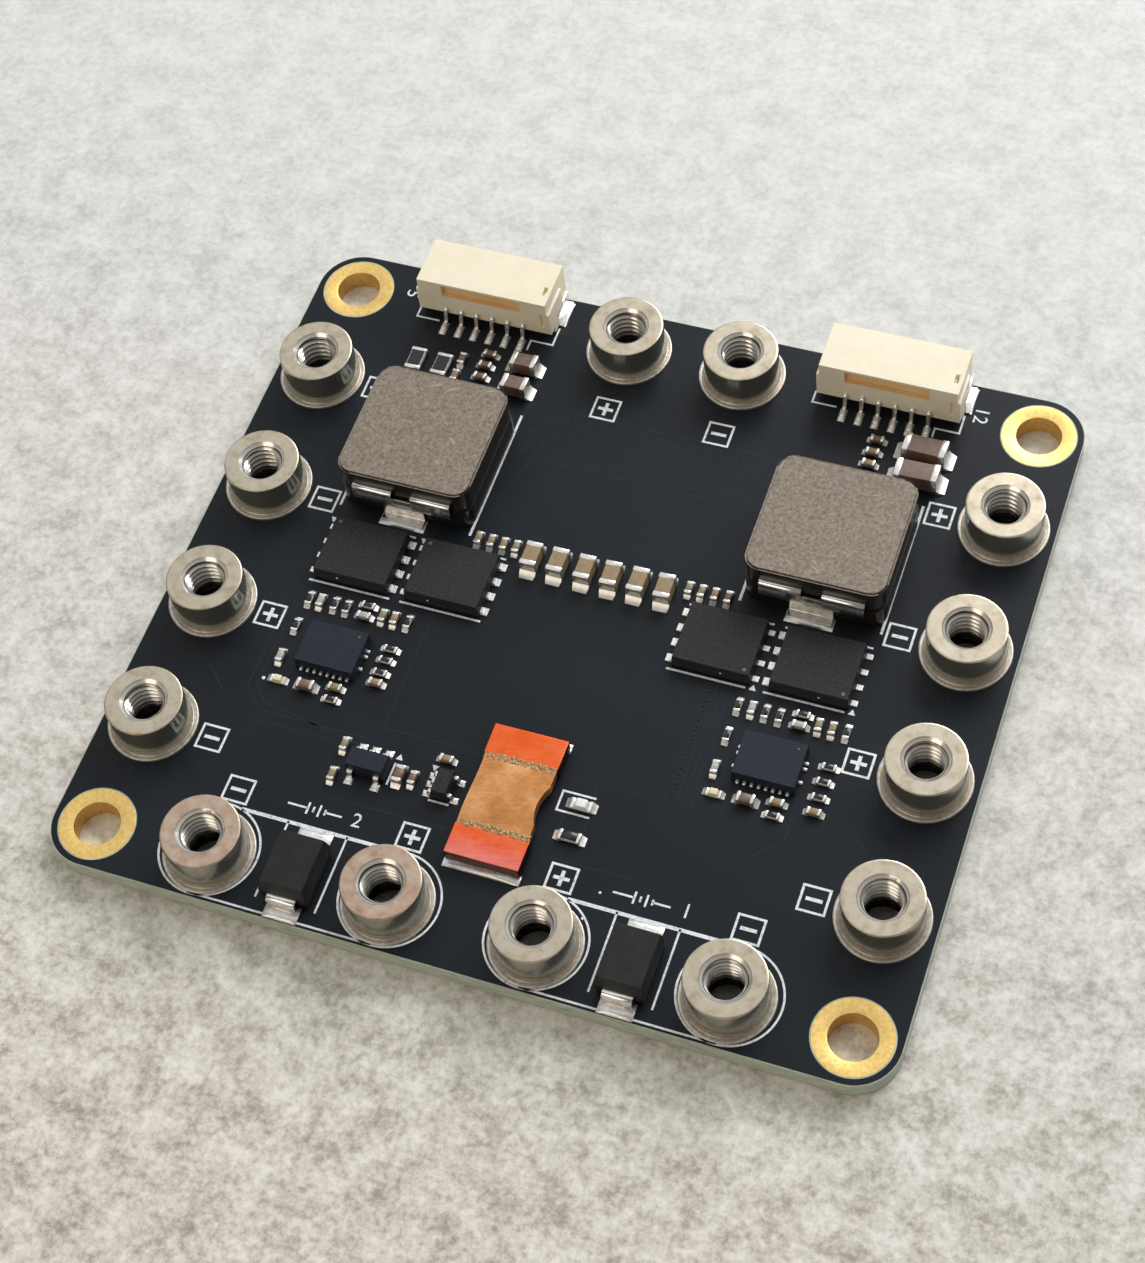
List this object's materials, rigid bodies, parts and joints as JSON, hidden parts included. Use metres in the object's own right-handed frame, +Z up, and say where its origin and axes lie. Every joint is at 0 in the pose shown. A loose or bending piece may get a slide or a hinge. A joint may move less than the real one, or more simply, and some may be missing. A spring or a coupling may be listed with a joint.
{
  "type": "power distribution board",
  "caption": "Small flat circuit board with threaded power terminals round its edge, a current shunt, two voltage regulators and two side-entry plug sockets.",
  "frame": {"origin": "centre of the board's underside", "axes": "+X along the long side, +Y towards the edge with the two connectors, +Z up out of the component side"},
  "size_m": [0.06, 0.055, 0.0057],
  "materials": {
    "board_mask": "satin black solder mask on glass epoxy",
    "terminal_plate": "tin-plated steel, satin",
    "inductor_core": "pressed iron powder, matt",
    "tin": "tin plate",
    "chip_plastic": "moulded epoxy, matt",
    "controller_plastic": "moulded epoxy, matt",
    "ivory_nylon": "moulded nylon, ivory",
    "copper": "satin copper",
    "manganin": "satin resistance alloy",
    "tan_ceramic": "fired ceramic",
    "brown_ceramic": "fired ceramic",
    "light_lens": "clear cast lens"
  },
  "bodies": {
    "root": {"board": "board_mask", "terminal_left_1": "terminal_plate", "terminal_left_2": "terminal_plate", "terminal_left_3": "terminal_plate", "terminal_left_4": "terminal_plate", "terminal_right_1": "terminal_plate", "terminal_right_2": "terminal_plate", "terminal_right_3": "terminal_plate", "terminal_right_4": "terminal_plate", "terminal_output_plus": "terminal_plate", "terminal_output_minus": "terminal_plate", "terminal_battery_left_plus": "terminal_plate", "terminal_battery_left_minus": "terminal_plate", "terminal_battery_right_plus": "terminal_plate", "terminal_battery_right_minus": "terminal_plate", "inductor_core_left": "inductor_core", "inductor_lead_left_front": "tin", "inductor_lead_left_back": "tin", "power_transistor_left_1": "chip_plastic", "power_transistor_left_2": "chip_plastic", "buck_controller_left": "controller_plastic", "surge_diode_left": "chip_plastic", "connector_housing_left": "ivory_nylon", "connector_pin_left_1": "tin", "connector_pin_left_2": "tin", "connector_pin_left_3": "tin", "connector_pin_left_4": "tin", "connector_pin_left_5": "tin", "connector_pin_left_6": "tin", "output_capacitor_left_1": "brown_ceramic", "output_capacitor_left_2": "brown_ceramic", "inductor_core_right": "inductor_core", "inductor_lead_right_front": "tin", "inductor_lead_right_back": "tin", "power_transistor_right_1": "chip_plastic", "power_transistor_right_2": "chip_plastic", "buck_controller_right": "controller_plastic", "surge_diode_right": "chip_plastic", "connector_housing_right": "ivory_nylon", "connector_pin_right_1": "tin", "connector_pin_right_2": "tin", "connector_pin_right_3": "tin", "connector_pin_right_4": "tin", "connector_pin_right_5": "tin", "connector_pin_right_6": "tin", "output_capacitor_right_1": "brown_ceramic", "output_capacitor_right_2": "brown_ceramic", "input_capacitor_1": "tan_ceramic", "input_capacitor_2": "tan_ceramic", "input_capacitor_3": "tan_ceramic", "input_capacitor_4": "tan_ceramic", "input_capacitor_5": "tan_ceramic", "input_capacitor_6": "tan_ceramic", "shunt_end_front": "copper", "shunt_end_back": "copper", "shunt_element": "manganin", "power_monitor_chip": "chip_plastic", "current_sense_chip": "chip_plastic", "power_light": "light_lens"}
  },
  "joints": []
}
